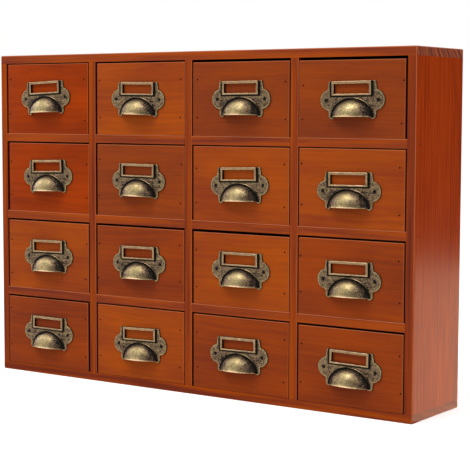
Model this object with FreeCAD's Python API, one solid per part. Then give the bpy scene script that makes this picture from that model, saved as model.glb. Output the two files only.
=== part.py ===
"""A desk cabinet of small drawers, for lenses: a nailed wooden case split into equal
cells by an egg crate of upright and level boards. In every cell slides one wooden
drawer, whose front carries a cast pull that joins a label frame to a finger cup.

Millimetres. +X runs to the right, +Y runs from the front to the back and +Z runs up.
The origin is the centre of the case's underside. Rows count from the top and columns
from the left.
"""
import FreeCAD
import Part
import os
from FreeCAD import Vector

# ---------------------------------------------------------------- case
case_width = 440.0
case_depth = 82.0
case_height = 298.0
case_board = 7.5            # thickness of the outer boards, the uprights and the shelves
back_board = 4.0            # thickness of the back panel, set in between the outer boards
case_edge_round = 1.2       # radius on the outer edges of the case
board_arris = 0.4           # chamfer on the front edges of uprights and shelves
columns = 4
rows = 4

# ---------------------------------------------------------------- drawers
front_board = 8.0
side_board = 6.0
rear_board = 5.0
floor_board = 3.0
side_gap = 1.3              # beside a centred drawer, on each side
top_gap = 1.4               # above a drawer
front_arris = 0.6           # chamfer round a drawer's face
wall_drop = 2.0             # how far a drawer's walls stop below the top of its front
floor_lift = 3.0            # underside of a drawer's floor above the shelf
groove_depth = 2.5          # groove that holds the floor, in the front and the sides
floor_play = 0.3            # free space past the floor's edge in each groove

# ---------------------------------------------------------------- pull, a single casting
screw_spacing = 48.0
ear_radius = 8.3
ear_rim = 5.6               # from a screw's middle to the tip of its ear
plate_thickness = 1.4
plate_margin = 2.1          # plate beside the cup's bead
shoulder_margin = 2.7       # plate beside the label frame
shoulder_height = 8.5       # where the plate reaches its full width, above the screws
leg_length = 0.5            # plate below the ends of the cup's lip
leg_round = 2.0             # two lower corners of the plate
cup_width = 35.2
cup_height = 13.6
cup_depth = 10.5            # from the drawer's face
cup_wall = 1.2
lip_below_screws = 14.0     # ends of the cup's lip
lip_rise = 1.0              # front of the lip above its ends
bead_gap = 1.3              # groove between the cup and the bead that follows it
bead_width = 1.1
bead_height = 0.7           # above the plate
frame_gap = 1.7             # between the bead and the label frame
frame_width = 37.6
frame_height = 11.8
frame_depth = 3.0           # front of the label frame, from the drawer's face
frame_top_bar = 2.6
frame_bottom_bar = 1.5
frame_side_bar = 2.6
label_slot_depth = 0.8      # behind the label frame, open at its top
label_lap = 0.7             # how far a label reaches behind the side and bottom bars

# ---------------------------------------------------------------- screws, pins and nails
screw_radius = 1.2
screw_head_radius = 2.1
screw_head_height = 0.9
screw_slot_width = 0.5
screw_slot_depth = 0.4
screw_tip_cover = 1.4       # wood left behind a screw's tip
pin_radius = 0.75           # two in each end of a drawer's front
pin_bite = 10.0             # into the end of the drawer's side
pin_inset = 15.5            # from the top and the bottom of the drawer's front
pin_cover = 0.5             # wood left beside a pin in the side's thickness, at least
nail_radius = 0.8           # in the case
nail_bite = 12.5            # into the end of a board
nail_inset = 7.0            # from the front and the back of the case
tack_radius = 0.6           # in the back panel
tack_bite = 7.0
hole_clearance = 0.03       # round every screw, pin and nail

# How each drawer was fitted by hand. The first number is its lean to the right, as a
# share of the side gap, and the second what was planed off its top beyond the top gap.
# The others are its pull's place to the right of the cell's middle and above it, and the
# pull's turn anticlockwise, in degrees.
hand_fit = {
    (1, 1): (0.2, -0.5, -1.0, 0.5, 2.3),
    (1, 2): (0.8, 0.0, -0.4, -1.0, -0.9),
    (1, 3): (0.0, 0.8, 1.7, -1.0, 0.5),
    (1, 4): (-0.6, 1.0, 1.1, -2.0, 0.8),
    (2, 1): (0.8, 0.0, 1.4, 0.7, 1.6),
    (2, 2): (0.7, -0.2, 0.0, -0.4, -0.5),
    (2, 3): (0.3, -0.3, 0.3, -0.9, 1.5),
    (2, 4): (-0.1, -0.5, -1.4, -2.2, 0.7),
    (3, 1): (0.0, 0.2, 1.3, -1.2, 0.9),
    (3, 2): (0.4, 0.5, 0.4, -1.1, 0.7),
    (3, 3): (0.5, 0.9, 1.6, -0.4, 0.2),
    (3, 4): (-0.1, 0.2, -0.3, -1.5, 0.6),
    (4, 1): (-0.8, 0.2, 0.8, -0.6, -0.3),
    (4, 2): (0.4, -0.2, 1.5, -1.4, 1.3),
    (4, 3): (0.5, -0.1, 0.2, -0.8, 0.7),
    (4, 4): (0.1, 0.3, 0.9, -1.7, -0.9),
}
square_fit = (0.0, 0.0, 0.0, 0.0, 0.0)

# How each drawer's pins were driven by eye: left low, left high, right low, right high.
# The first number is how far a pin lies in from the middle of the side's thickness, as a
# share of the room there, and the second how far it lies above its proper height.
pin_drift = {
    (1, 1): ((-0.2, 2.3), (0.1, 1.8), (0.6, -3.0), (1.0, 0.8)),
    (1, 2): ((0.5, 0.0), (0.0, 0.3), (1.0, 0.3), (0.6, 0.3)),
    (1, 3): ((1.0, 0.3), (1.0, 0.8), (0.3, -0.7), (0.4, -1.6)),
    (1, 4): ((0.3, -0.5), (0.8, -4.7), (0.0, -3.3), (-1.0, -1.4)),
    (2, 1): ((-0.3, -0.5), (-0.3, -2.2), (-0.1, -1.0), (-0.1, -3.0)),
    (2, 2): ((-0.4, 2.0), (-0.2, 1.8), (0.7, -1.7), (0.1, -0.6)),
    (2, 3): ((0.3, 0.0), (0.3, -3.7), (0.9, -0.7), (1.0, 1.7)),
    (2, 4): ((-0.1, 2.3), (-0.3, 2.8), (0.9, -2.7), (1.0, 1.5)),
    (3, 1): ((0.2, -2.5), (0.2, -3.0), (0.3, -2.7), (-0.5, -3.0)),
    (3, 2): ((-1.0, 0.0), (-0.4, -1.2), (0.6, 2.5), (1.0, 2.1)),
    (3, 3): ((0.2, -0.5), (0.0, -0.1), (0.7, 0.0), (0.7, 2.7)),
    (3, 4): ((-0.3, 3.0), (-0.6, 0.2), (0.3, 0.3), (1.0, 1.0)),
    (4, 1): ((0.3, 1.7), (-0.1, 4.0), (0.1, -2.5), (0.0, 0.2)),
    (4, 2): ((0.0, 1.0), (0.1, 1.4), (0.9, -0.7), (0.5, -0.6)),
    (4, 3): ((0.9, 2.0), (0.3, -0.8), (0.9, -2.3), (0.5, 0.7)),
    (4, 4): ((-0.2, 0.3), (0.2, -0.1), (-0.6, 0.7), (0.1, -1.9)),
}
no_drift = ((0.0, 0.0),) * 4

# ---------------------------------------------------------------- places that follow
case_right = case_width / 2
case_left = -case_right
case_rear = case_depth / 2
case_face = -case_rear
inner_left = case_left + case_board
inner_right = case_right - case_board
inner_bottom = case_board
inner_top = case_height - case_board
back_face = case_rear - back_board
cell_width = (case_width - (columns + 1) * case_board) / columns
cell_height = (case_height - (rows + 1) * case_board) / rows
halving_plane = (case_face + back_face) / 2
nail_length = case_board + nail_bite
tack_length = back_board + tack_bite
drawer_width = cell_width - 2 * side_gap
floor_top = floor_lift + floor_board
screw_length = plate_thickness + front_board - screw_tip_cover
ear_centre = screw_spacing / 2 + ear_rim - ear_radius
bead_half_width = cup_width / 2 + bead_gap + bead_width
bead_rise = cup_height + bead_gap + bead_width
lip_level = -lip_below_screws
plate_bottom = lip_level - leg_length
frame_bottom = lip_level + bead_rise + frame_gap
frame_top = frame_bottom + frame_height
window_half = frame_width / 2 - frame_side_bar
window_bottom = frame_bottom + frame_bottom_bar
window_top = frame_top - frame_top_bar
spill = 1.0                 # how far a cutting tool runs past what it cuts


def cell_left(column):
    """X of a cell's left wall."""
    return inner_left + (column - 1) * (cell_width + case_board)


def cell_bottom(row):
    """Z of the shelf's top under a cell."""
    return inner_bottom + (rows - row) * (cell_height + case_board)


def block(low, high):
    """An upright box between two corners."""
    return Part.makeBox(high[0] - low[0], high[1] - low[1], high[2] - low[2], Vector(*low))


def edges_where(shape, keep):
    """The edges whose middle and box pass a test."""
    return [edge for edge in shape.Edges if keep(edge.CenterOfMass, edge.BoundBox)]


def drive(start, direction, radius, length):
    """A plain round nail or pin, its head flush at start."""
    return Part.makeCylinder(radius, length, start, direction)


def bore(start, direction, radius, length):
    """The hole for a nail or pin from drive()."""
    return Part.makeCylinder(radius + hole_clearance, length, start, direction)


def drilled(shape, holes):
    """The shape with a list of holes cut out of it."""
    return shape.cut(Part.makeCompound(holes)) if holes else shape


def write(node, solids):
    """One STEP file for one node of one or more solids."""
    shape = solids[0] if len(solids) == 1 else Part.makeCompound(solids)
    shape.exportStep("parts/" + node + ".step")


# ================================================================ case
def level_board(bottom, outer_is_top):
    """The top or the bottom of the case, full width, with its outer edges rounded."""
    board = block((case_left, case_face, bottom), (case_right, case_rear, bottom + case_board))
    outer = bottom + case_board if outer_is_top else bottom

    def is_outer(middle, box):
        corner = box.ZLength > case_board / 2
        return corner or abs(middle.z - outer) < hole_clearance

    return board.makeFillet(case_edge_round, edges_where(board, is_outer))


def side_panel(outer, inner):
    """A side of the case, which stands between the top and the bottom boards."""
    low = (min(outer, inner), case_face, inner_bottom)
    high = (max(outer, inner), case_rear, inner_top)
    board = block(low, high)

    def is_outer(middle, box):
        return box.ZLength > case_board and abs(middle.x - outer) < hole_clearance

    return board.makeFillet(case_edge_round, edges_where(board, is_outer))


def upright_left(index):
    """X of the left face of an inner upright, counted from 1."""
    return cell_left(index + 1) - case_board


def shelf_bottom(index):
    """Z of the underside of a shelf, counted from 1 at the top."""
    return cell_bottom(index) - case_board


def upright(index):
    """An inner upright: unbroken at the front, notched from behind for each shelf."""
    left = upright_left(index)
    right = left + case_board
    board = block((left, case_face, inner_bottom), (right, back_face, inner_top))

    def is_front(middle, box):
        return box.ZLength > case_board and middle.y < halving_plane

    board = board.makeChamfer(board_arris, edges_where(board, is_front))
    for level in range(1, rows):
        bottom = shelf_bottom(level)
        notch = block((left - spill, halving_plane, bottom),
                      (right + spill, back_face + spill, bottom + case_board))
        board = board.cut(notch)
    return board


def shelf(index):
    """A shelf from side to side, notched from the front for each upright."""
    bottom = shelf_bottom(index)
    top = bottom + case_board
    board = block((inner_left, case_face, bottom), (inner_right, back_face, top))

    def is_front(middle, box):
        return box.XLength > case_board and middle.y < halving_plane

    board = board.makeChamfer(board_arris, edges_where(board, is_front))
    for column in range(1, columns):
        left = upright_left(column)
        notch = block((left, case_face - spill, bottom - spill),
                      (left + case_board, halving_plane, top + spill))
        board = board.cut(notch)
    return board


def case_nails():
    """Start and direction of each nail in the case, head first."""
    depths = (case_face + nail_inset, case_rear - nail_inset)
    places = []
    for depth in depths:
        for index in range(1, rows):
            middle = shelf_bottom(index) + case_board / 2
            places.append((Vector(case_left, depth, middle), Vector(1, 0, 0)))
            places.append((Vector(case_right, depth, middle), Vector(-1, 0, 0)))
        ends = [(case_left + case_board / 2, depth), (case_right - case_board / 2, depth)]
        over_uprights = min(depth, back_face - nail_inset)
        for index in range(1, columns):
            ends.append((upright_left(index) + case_board / 2, over_uprights))
        for x, y in ends:
            places.append((Vector(x, y, case_height), Vector(0, 0, -1)))
            places.append((Vector(x, y, 0), Vector(0, 0, 1)))
    return places


def back_tacks():
    """Start and direction of each tack through the back panel into an upright."""
    heights = [cell_bottom(row) + cell_height / 2 for row in (1, rows)]
    middles = [upright_left(index) + case_board / 2 for index in range(1, columns)]
    return [(Vector(x, case_rear, z), Vector(0, -1, 0)) for x in middles for z in heights]


def make_case():
    """Every board of the case, with the nails and tacks that hold it."""
    nail_holes = [bore(start, way, nail_radius, nail_length) for start, way in case_nails()]
    tack_holes = [bore(start, way, tack_radius, tack_length) for start, way in back_tacks()]
    boards = {
        "top_panel": level_board(inner_top, True),
        "bottom_panel": level_board(0, False),
        "left_side_panel": side_panel(case_left, inner_left),
        "right_side_panel": side_panel(case_right, inner_right),
        "back_panel": block((inner_left, back_face, inner_bottom), (inner_right, case_rear, inner_top)),
    }
    for index in range(1, columns):
        boards["upright_%d" % index] = upright(index)
    for index in range(1, rows):
        boards["shelf_%d" % index] = shelf(index)
    holes = nail_holes + tack_holes
    for node, board in boards.items():
        near = [hole for hole in holes if hole.BoundBox.intersect(board.BoundBox)]
        write(node, [drilled(board, near)])
    nails = [drive(start, way, nail_radius, nail_length) for start, way in case_nails()]
    tacks = [drive(start, way, tack_radius, tack_length) for start, way in back_tacks()]
    write("case_nails", nails + tacks)


# ================================================================ pull
# The pull is made about the middle of its screw line, with the drawer's face at y = 0.
def ellipsoid(half_width, height, depth):
    """An ellipsoid about the middle of the cup's lip."""
    ball = Part.makeSphere(1.0)
    size = FreeCAD.Matrix()
    size.scale(half_width, depth, height)
    ball = ball.transformGeometry(size)
    ball.translate(Vector(0, 0, lip_level))
    return ball


def plate():
    """The back plate without its ears: a touch narrower beside the label frame."""
    half_top = frame_width / 2 + shoulder_margin
    half = bead_half_width + plate_margin
    points = [Vector(-half_top, 0, frame_top), Vector(half_top, 0, frame_top),
              Vector(half, 0, shoulder_height), Vector(half, 0, plate_bottom),
              Vector(-half, 0, plate_bottom), Vector(-half, 0, shoulder_height)]
    face = Part.Face(Part.makePolygon(points + points[:1]))
    board = face.extrude(Vector(0, -plate_thickness, 0))

    def is_low_corner(middle, box):
        return box.YLength > plate_thickness / 2 and middle.z < lip_level

    return board.makeFillet(leg_round, edges_where(board, is_low_corner))


def elliptic_disc(half_width, half_height, depth):
    """An elliptic disc about the middle of the cup's lip, on the drawer's face."""
    ellipse = Part.Ellipse(Vector(0, 0, 0), half_width, half_height)
    disc = Part.Face(Part.Wire([ellipse.toShape()])).extrude(Vector(0, 0, depth))
    disc.rotate(Vector(0, 0, 0), Vector(1, 0, 0), 90)
    disc.translate(Vector(0, 0, lip_level))
    return disc


def bead():
    """The raised line that follows the cup's outline."""
    height = plate_thickness + bead_height
    outer = elliptic_disc(bead_half_width, bead_rise, height)
    inner = elliptic_disc(bead_half_width - bead_width, bead_rise - bead_width, height)
    above_lip = block((-cup_width, -height, lip_level), (cup_width, 0, lip_level + bead_rise))
    return outer.cut(inner).common(above_lip)


def cup():
    """The cup's outer form, solid, with its lip climbing towards the front."""
    half = cup_width / 2 + spill
    front = -cup_depth - spill
    level_at_front = lip_level - lip_rise * front / cup_depth
    below = lip_level - cup_height - spill
    points = [Vector(-half, spill, lip_level), Vector(-half, 0, lip_level),
              Vector(-half, front, level_at_front), Vector(-half, front, below),
              Vector(-half, spill, below)]
    under_lip = Part.Face(Part.makePolygon(points + points[:1])).extrude(Vector(2 * half, 0, 0))
    form = ellipsoid(cup_width / 2, cup_height, cup_depth).cut(under_lip)
    return form.common(block((-half, front, below), (half, 0, lip_level + cup_height + spill)))


def screw_form(extra):
    """A countersunk screw from its head's top along +Y, or its hole with extra room."""
    way = Vector(0, 1, 0)
    head = Part.makeCone(screw_head_radius + extra, screw_radius + extra, screw_head_height,
                         Vector(0, 0, 0), way)
    shank = Part.makeCylinder(screw_radius + extra, screw_length + extra, Vector(0, 0, 0), way)
    return head.fuse(shank).removeSplitter()


def screw():
    """A screw with a plain slot."""
    long_way = screw_head_radius + spill
    slot = block((-long_way, -spill, -screw_slot_width / 2),
                 (long_way, screw_slot_depth, screw_slot_width / 2))
    return screw_form(0).cut(slot)


def at_each_screw(form):
    """The same form at both screws, on the plate's face."""
    forms = []
    for side in (-1, 1):
        one = form.copy()
        one.translate(Vector(side * screw_spacing / 2, -plate_thickness, 0))
        forms.append(one)
    return forms


def pull_casting():
    """Plate, ears, label frame, bead and cup in one solid."""
    ears = [Part.makeCylinder(ear_radius, plate_thickness, Vector(side * ear_centre, 0, 0),
                              Vector(0, -1, 0)) for side in (-1, 1)]
    label_frame = block((-frame_width / 2, -frame_depth, frame_bottom), (frame_width / 2, 0, frame_top))
    body = plate().multiFuse(ears + [label_frame, bead(), cup()])

    inner_half = cup_width / 2 - cup_wall
    hollow = ellipsoid(inner_half, cup_height - cup_wall, cup_depth - cup_wall)
    between_legs = block((-inner_half, -cup_depth, plate_bottom - spill), (inner_half, spill, lip_level))
    window = block((-window_half, -frame_depth - spill, window_bottom), (window_half, spill, window_top))
    label_half = window_half + label_lap
    label_slot = block((-label_half, -label_slot_depth, window_bottom - label_lap),
                       (label_half, spill, frame_top + spill))
    room = at_each_screw(screw_form(hole_clearance))
    body = body.cut(Part.makeCompound([hollow, between_legs]))
    body = body.cut(window).cut(label_slot)
    return body.cut(Part.makeCompound(room)).removeSplitter()


# ================================================================ drawers
def drawer_left(row, column):
    """X of the left end of a drawer's front."""
    lean = hand_fit.get((row, column), square_fit)[0]
    return cell_left(column) + side_gap * (1 + lean)


def front_height(row, column):
    """The height of a drawer's front."""
    planed = hand_fit.get((row, column), square_fit)[1]
    return cell_height - top_gap - planed


def wall_height(row, column):
    """The height of a drawer's sides and rear above its underside."""
    return front_height(row, column) - wall_drop


def pull_placement(row, column):
    """Where a drawer's pull sits on its front, and how it is turned."""
    _, _, across, up, turn = hand_fit.get((row, column), square_fit)
    middle = Vector(cell_left(column) + cell_width / 2 + across, case_face,
                    cell_bottom(row) + cell_height / 2 + up)
    return FreeCAD.Placement(middle, FreeCAD.Rotation(Vector(0, -1, 0), turn))


def placed(shape, placement):
    """A copy of a shape, moved from the pull's own place to a drawer's."""
    moved = shape.copy()
    moved.transformShape(placement.toMatrix())
    return moved


def pin_starts(row, column):
    """The pins' heads on a drawer's face: into the ends of the sides, low and high."""
    left = drawer_left(row, column)
    bottom = cell_bottom(row)
    low = bottom + pin_inset
    high = bottom + front_height(row, column) - pin_inset
    room = side_board / 2 - pin_radius - pin_cover
    nominal = ((left, 1, low), (left, 1, high),
               (left + drawer_width, -1, low), (left + drawer_width, -1, high))
    drift = pin_drift.get((row, column), no_drift)
    return [Vector(end + inward * (side_board / 2 + room * share), case_face, height + up)
            for (end, inward, height), (share, up) in zip(nominal, drift)]


def drawer_front(left, bottom, height):
    """The front board, chamfered round its face and grooved behind for the floor."""
    rear = case_face + front_board
    board = block((left, case_face, bottom), (left + drawer_width, rear, bottom + height))

    def is_face_edge(middle, box):
        return middle.y < case_face + front_arris and box.YLength < front_arris

    board = board.makeChamfer(front_arris, edges_where(board, is_face_edge))
    reach = side_board - groove_depth
    groove = block((left + reach, rear - groove_depth, bottom + floor_lift),
                   (left + drawer_width - reach, rear + spill, bottom + floor_top))
    return board.cut(groove)


def drawer_tray(left, bottom, height):
    """Two grooved sides, the rear board between them and the floor in its grooves."""
    face = case_face + front_board
    right = left + drawer_width
    top = bottom + height
    in_left = left + side_board
    in_right = right - side_board
    groove_low = (in_left - groove_depth, face - spill, bottom + floor_lift)
    groove_high = (in_right + groove_depth, back_face + spill, bottom + floor_top)
    groove = block(groove_low, groove_high)
    left_side = block((left, face, bottom), (in_left, back_face, top)).cut(groove)
    right_side = block((in_right, face, bottom), (right, back_face, top)).cut(groove)
    rear = block((in_left, back_face - rear_board, bottom + floor_top), (in_right, back_face, top))
    edge = groove_depth - floor_play
    floor = block((in_left - edge, face - edge, bottom + floor_lift),
                  (in_right + edge, back_face, bottom + floor_top))
    return [left_side, right_side, rear, floor]


def make_drawer(row, column, casting):
    """One drawer: its front, its tray, and its pull with the screws and pins."""
    left = drawer_left(row, column)
    bottom = cell_bottom(row)
    placement = pull_placement(row, column)
    starts = pin_starts(row, column)
    inward = Vector(0, 1, 0)
    pin_length = front_board + pin_bite
    pins = [drive(start, inward, pin_radius, pin_length) for start in starts]
    pin_holes = [bore(start, inward, pin_radius, pin_length) for start in starts]
    screws = [placed(form, placement) for form in at_each_screw(screw())]
    screw_holes = [placed(form, placement) for form in at_each_screw(screw_form(hole_clearance))]
    tray = drawer_tray(left, bottom, wall_height(row, column))
    tray[:2] = [drilled(side, pin_holes) for side in tray[:2]]
    name = "drawer_r%dc%d_" % (row, column)
    front = drawer_front(left, bottom, front_height(row, column))
    write(name + "front", [drilled(front, pin_holes + screw_holes)])
    write(name + "tray", tray)
    write(name + "hardware", [placed(casting, placement)] + screws + pins)


os.makedirs("parts", exist_ok=True)
make_case()
casting = pull_casting()
for row in range(1, rows + 1):
    for column in range(1, columns + 1):
        make_drawer(row, column, casting)
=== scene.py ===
"""Looks of a desk cabinet of small drawers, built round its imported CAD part.

The case boards and the drawers' trays keep their CAD meshes and get wood. The drawer
fronts, the cast pulls, their screws and the pins are surfaces worked out here. A pull is
worked out once, in millimetres about the middle of its screw line with the drawer's face
at y = 0, and then put on each front. Rows count from the top and columns from the left.
"""
import math

import bmesh
import bpy
import numpy as np
from bpy.props import FloatProperty, FloatVectorProperty, PointerProperty
from mathutils import Matrix, Vector
from mathutils.geometry import tessellate_polygon


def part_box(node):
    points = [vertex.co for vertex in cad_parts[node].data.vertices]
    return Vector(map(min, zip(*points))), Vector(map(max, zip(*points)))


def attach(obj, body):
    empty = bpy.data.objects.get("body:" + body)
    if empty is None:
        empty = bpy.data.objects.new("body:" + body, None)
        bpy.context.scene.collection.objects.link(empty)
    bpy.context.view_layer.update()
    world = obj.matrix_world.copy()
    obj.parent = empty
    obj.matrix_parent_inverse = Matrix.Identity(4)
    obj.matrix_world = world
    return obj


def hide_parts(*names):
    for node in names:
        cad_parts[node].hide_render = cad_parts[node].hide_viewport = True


bl_info = {
    "name": "Small-drawer cabinet",
    "version": (1, 0, 0),
    "blender": (4, 5, 0),
    "location": "3D View > Sidebar > Cabinet",
    "description": "Dresses a wooden cabinet of small drawers with cast label pulls",
    "category": "Object",
}

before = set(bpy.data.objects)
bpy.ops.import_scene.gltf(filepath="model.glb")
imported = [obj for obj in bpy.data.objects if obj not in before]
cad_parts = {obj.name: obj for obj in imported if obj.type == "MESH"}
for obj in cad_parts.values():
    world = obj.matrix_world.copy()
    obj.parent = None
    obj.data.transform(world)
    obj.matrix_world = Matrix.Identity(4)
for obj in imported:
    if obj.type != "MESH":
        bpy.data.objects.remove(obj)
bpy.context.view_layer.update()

MM = 0.001
ROWS = 4
COLUMNS = 4
# Each drawer's row, its column and what its names end with.
DRAWERS = [(row, column, "_r%dc%d" % (row, column))
           for row in range(1, ROWS + 1) for column in range(1, COLUMNS + 1)]

# The case in millimetres, as its source has it.
CASE_FACE = -41.0
INNER_LEFT = -212.5
INNER_BOTTOM = 7.5
BOARD = 7.5
CELL_WIDTH = 100.625
CELL_HEIGHT = 65.125
PIN_TIPS_BEHIND = -30.0     # only pins reach past this y, the screws end before it

# The pull in millimetres, from the middle of its screw line.
SCREW_AT = 24.0             # each screw, to its side
EAR_AT = 21.3               # middle of each round ear, to its side
LIP = -14.0                 # ends of the cup's lip
BEAD_OFF = 1.15             # middle of the bead, out from the cup's side
BEAD_STEPS = 61             # points along the bead and the groove beside it
PLATE_TOP = 15.3

# Each pull's place to the right of its cell's middle and above it, and its turn
# anticlockwise in degrees.
PULL_FIT = {
    (1, 1): (-1.0, 0.5, 2.3), (1, 2): (-0.4, -1.0, -0.9),
    (1, 3): (1.7, -1.0, 0.5), (1, 4): (1.1, -2.0, 0.8),
    (2, 1): (1.4, 0.7, 1.6), (2, 2): (0.0, -0.4, -0.5),
    (2, 3): (0.3, -0.9, 1.5), (2, 4): (-1.4, -2.2, 0.7),
    (3, 1): (1.3, -1.2, 0.9), (3, 2): (0.4, -1.1, 0.7),
    (3, 3): (1.6, -0.4, 0.2), (3, 4): (-0.3, -1.5, 0.6),
    (4, 1): (0.8, -0.6, -0.3), (4, 2): (1.5, -1.4, 1.3),
    (4, 3): (0.2, -0.8, 0.7), (4, 4): (0.9, -1.7, -0.9),
}

# The plank that each front was cut from, row by row from the top.
FRONT_PLANKS = (
    ("orange", "amber", "dark", "dark"),
    ("orange", "dark", "amber", "amber"),
    ("amber", "brown", "amber", "brown"),
    ("brown", "amber", "brown", "brown"),
)

# How a board is sawn: the shares of growth rings, fibres and clouds in its figure, how far
# its rings waver, in metres, how much of a step along the grain counts towards them, half
# the range of noise from its darkest to its lightest tone, its gloss, its rings' width as a
# share of the usual, and its roughness.
SAWN = {
    "front": (0.20, 0.20, 0.60, 0.016, 0.16, 0.13, 0.05, 1.0, 0.42),
    "board": (0.30, 0.24, 0.46, 0.010, 0.10, 0.13, 0.05, 1.0, 0.42),
    "foot": (0.30, 0.24, 0.46, 0.010, 0.10, 0.13, 0.005, 1.0, 0.17),
    "side": (0.42, 0.44, 0.14, 0.003, 0.02, 0.09, 0.005, 0.40, 0.17),
    "bare": (0.42, 0.28, 0.30, 0.016, 0.16, 0.14, 0.15, 1.0, 0.72),
}


def srgb(red, green, blue):
    """A colour given as 0-255 screen values, in linear light."""
    values = np.array([red, green, blue]) / 255.0
    low = values / 12.92
    high = ((values + 0.055) / 1.055) ** 2.4
    return tuple(float(v) for v in np.where(values <= 0.04045, low, high))


def length(name, description, millimetres):
    """A size that a user may change, kept in metres."""
    return FloatProperty(name=name, description=description, default=millimetres * MM,
                         min=0.0, precision=5, unit="LENGTH")


def colour(name, description, red, green, blue):
    """A colour that a user may change."""
    return FloatVectorProperty(name=name, description=description, subtype="COLOR", size=3,
                               min=0.0, max=1.0, default=srgb(red, green, blue))


def power(name, description, watts):
    """A lamp's power that a user may change."""
    return FloatProperty(name=name, description=description, default=watts, min=0.0, unit="POWER")


class CabinetWood(bpy.types.PropertyGroup):
    """Colours and finish of every board."""
    orange_light: colour("Orange plank, light", "Lightest tone of the orange plank", 172, 62, 4)
    orange_dark: colour("Orange plank, dark", "Darkest tone of the orange plank", 140, 48, 8)
    amber_light: colour("Amber plank, light", "Lightest tone of the amber plank", 178, 81, 16)
    amber_dark: colour("Amber plank, dark", "Darkest tone of the amber plank", 144, 58, 26)
    brown_light: colour("Brown plank, light", "Lightest tone of the brown plank", 164, 69, 17)
    brown_dark: colour("Brown plank, dark", "Darkest tone of the brown plank", 131, 53, 24)
    dark_light: colour("Dark plank, light", "Lightest tone of the darkest plank", 157, 68, 20)
    dark_dark: colour("Dark plank, dark", "Darkest tone of the darkest plank", 127, 54, 27)
    case_light: colour("Case, light", "Lightest tone of the case boards", 178, 64, 4)
    case_dark: colour("Case, dark", "Darkest tone of the case boards", 138, 38, 1)
    edge_light: colour("Board edges, light", "Lightest tone of front edges", 170, 74, 20)
    edge_dark: colour("Board edges, dark", "Darkest tone of front edges", 126, 52, 32)
    bare_light: colour("Bare wood, light", "Lightest tone inside a drawer", 214, 176, 126)
    bare_dark: colour("Bare wood, dark", "Darkest tone inside a drawer", 172, 128, 82)
    # The arrises' colour is partly rubbed wear and partly a painted highlight, strongest on the upper
    # edges.
    rubbed_and_highlit: colour("Rubbed arrises", "Wood where its edges are rubbed thin", 222, 142, 98)
    ring_spacing: length("Ring spacing", "Width of one growth ring on a face", 3.4)
    front_round: length("Front edge radius", "Radius on every edge of a front", 0.8)


class CabinetBrass(bpy.types.PropertyGroup):
    """Sizes and colours of the cast pulls and what holds them."""
    # The hollows' colour is patina, and it also serves as painted shade round the label frame and at the
    # plate's foot.
    patina_and_shade: colour("Hollows", "Black-brown patina in the hollows", 26, 21, 16)
    bronze: colour("Patina", "Grey-bronze patina of the plate", 122, 99, 77)
    gold: colour("Worn brass", "Olive-gold of the handled dome", 160, 144, 100)
    rubbed_and_highlit: colour("Rubbed edges", "Bright brass of the rubbed edges", 238, 200, 158)
    copper: colour("Label frame", "Redder tone of the label frame", 166, 137, 99)
    nail: colour("Nails", "Dark iron of the case's nail heads", 24, 12, 8)
    pin: colour("Pins", "Stained iron of the pins in the fronts", 50, 15, 8)
    plate_thickness: length("Plate thickness", "Thickness of the pull's plate", 1.4)
    ear_radius: length("Ear radius", "Radius of the ears that hold the screws", 8.3)
    cup_width: length("Cup width", "Outer width of the cup", 36.8)
    cup_height: length("Cup height", "Height of the cup above its lip", 14.4)
    cup_depth: length("Cup depth", "How far the cup stands off the drawer", 10.46)
    cup_wall: length("Cup wall", "Thickness of the cup", 1.2)
    frame_width: length("Label frame width", "Outer width of the label frame", 36.2)
    frame_depth: length("Label frame depth", "Front of the label frame off the drawer", 2.9)


class CabinetStage(bpy.types.PropertyGroup):
    """Light and floor."""
    key_power: power("Key light", "Power of the soft overhead light", 17.0)
    fill_power: power("Fill light", "Power of the soft side light", 7.0)
    left_power: power("Left light", "Power of the light that the pulls mirror", 8.5)
    card_power: power("Low card", "Power of the card by the floor", 47.0)
    sky: FloatProperty(name="Sky", description="Strength of the even light", default=0.5, min=0.0)
    floor: colour("Floor", "Pale floor", 236, 236, 234)


# ---------------- node helpers
def fresh_material(name):
    """An empty node material with its output."""
    material = bpy.data.materials.new(name)
    material.use_nodes = True
    material.node_tree.nodes.clear()
    return material, material.node_tree


def put(tree, kind, sockets=None, **settings):
    """A node with its settings; a socket's value may be a number, a colour or an output."""
    node = tree.nodes.new(kind)
    for key, value in settings.items():
        setattr(node, key, value)
    for key, value in (sockets or {}).items():
        if isinstance(value, bpy.types.NodeSocket):
            tree.links.new(value, node.inputs[key])
        else:
            node.inputs[key].default_value = value
    return node


def maths(tree, operation, *values, clamp=False):
    """The result of one Math node."""
    sockets = dict(enumerate(values))
    return put(tree, "ShaderNodeMath", sockets, operation=operation, use_clamp=clamp).outputs[0]


def vector_maths(tree, operation, first, second=(0.0, 0.0, 0.0), output="Vector"):
    """The result of one Vector Math node."""
    return put(tree, "ShaderNodeVectorMath", {0: first, 1: second}, operation=operation).outputs[output]


def ramp(tree, factor, stops):
    """A colour that runs through stops of (position, colour)."""
    node = put(tree, "ShaderNodeValToRGB", {"Fac": factor})
    elements = node.color_ramp.elements
    while len(elements) < len(stops):
        elements.new(0.5)
    for element, (position, shade) in zip(elements, stops):
        element.position = position
        element.color = (*shade[:3], 1.0)
    return node.outputs["Color"]


def blend_colour(tree, factor, first, second):
    """A mix of two colours."""
    node = put(tree, "ShaderNodeMix", {"Factor": factor}, data_type="RGBA")
    for key, value in ((6, first), (7, second)):
        if isinstance(value, bpy.types.NodeSocket):
            tree.links.new(value, node.inputs[key])
        else:
            node.inputs[key].default_value = (*value[:3], 1.0)
    return node.outputs[2]


def mapped(tree, value, low=0.0, high=1.0, to_low=0.0, to_high=1.0):
    """A value carried from one range to another and kept within it."""
    return put(tree, "ShaderNodeMapRange", {"Value": value, "From Min": low, "From Max": high,
                                            "To Min": to_low, "To Max": to_high}).outputs[0]


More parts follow.
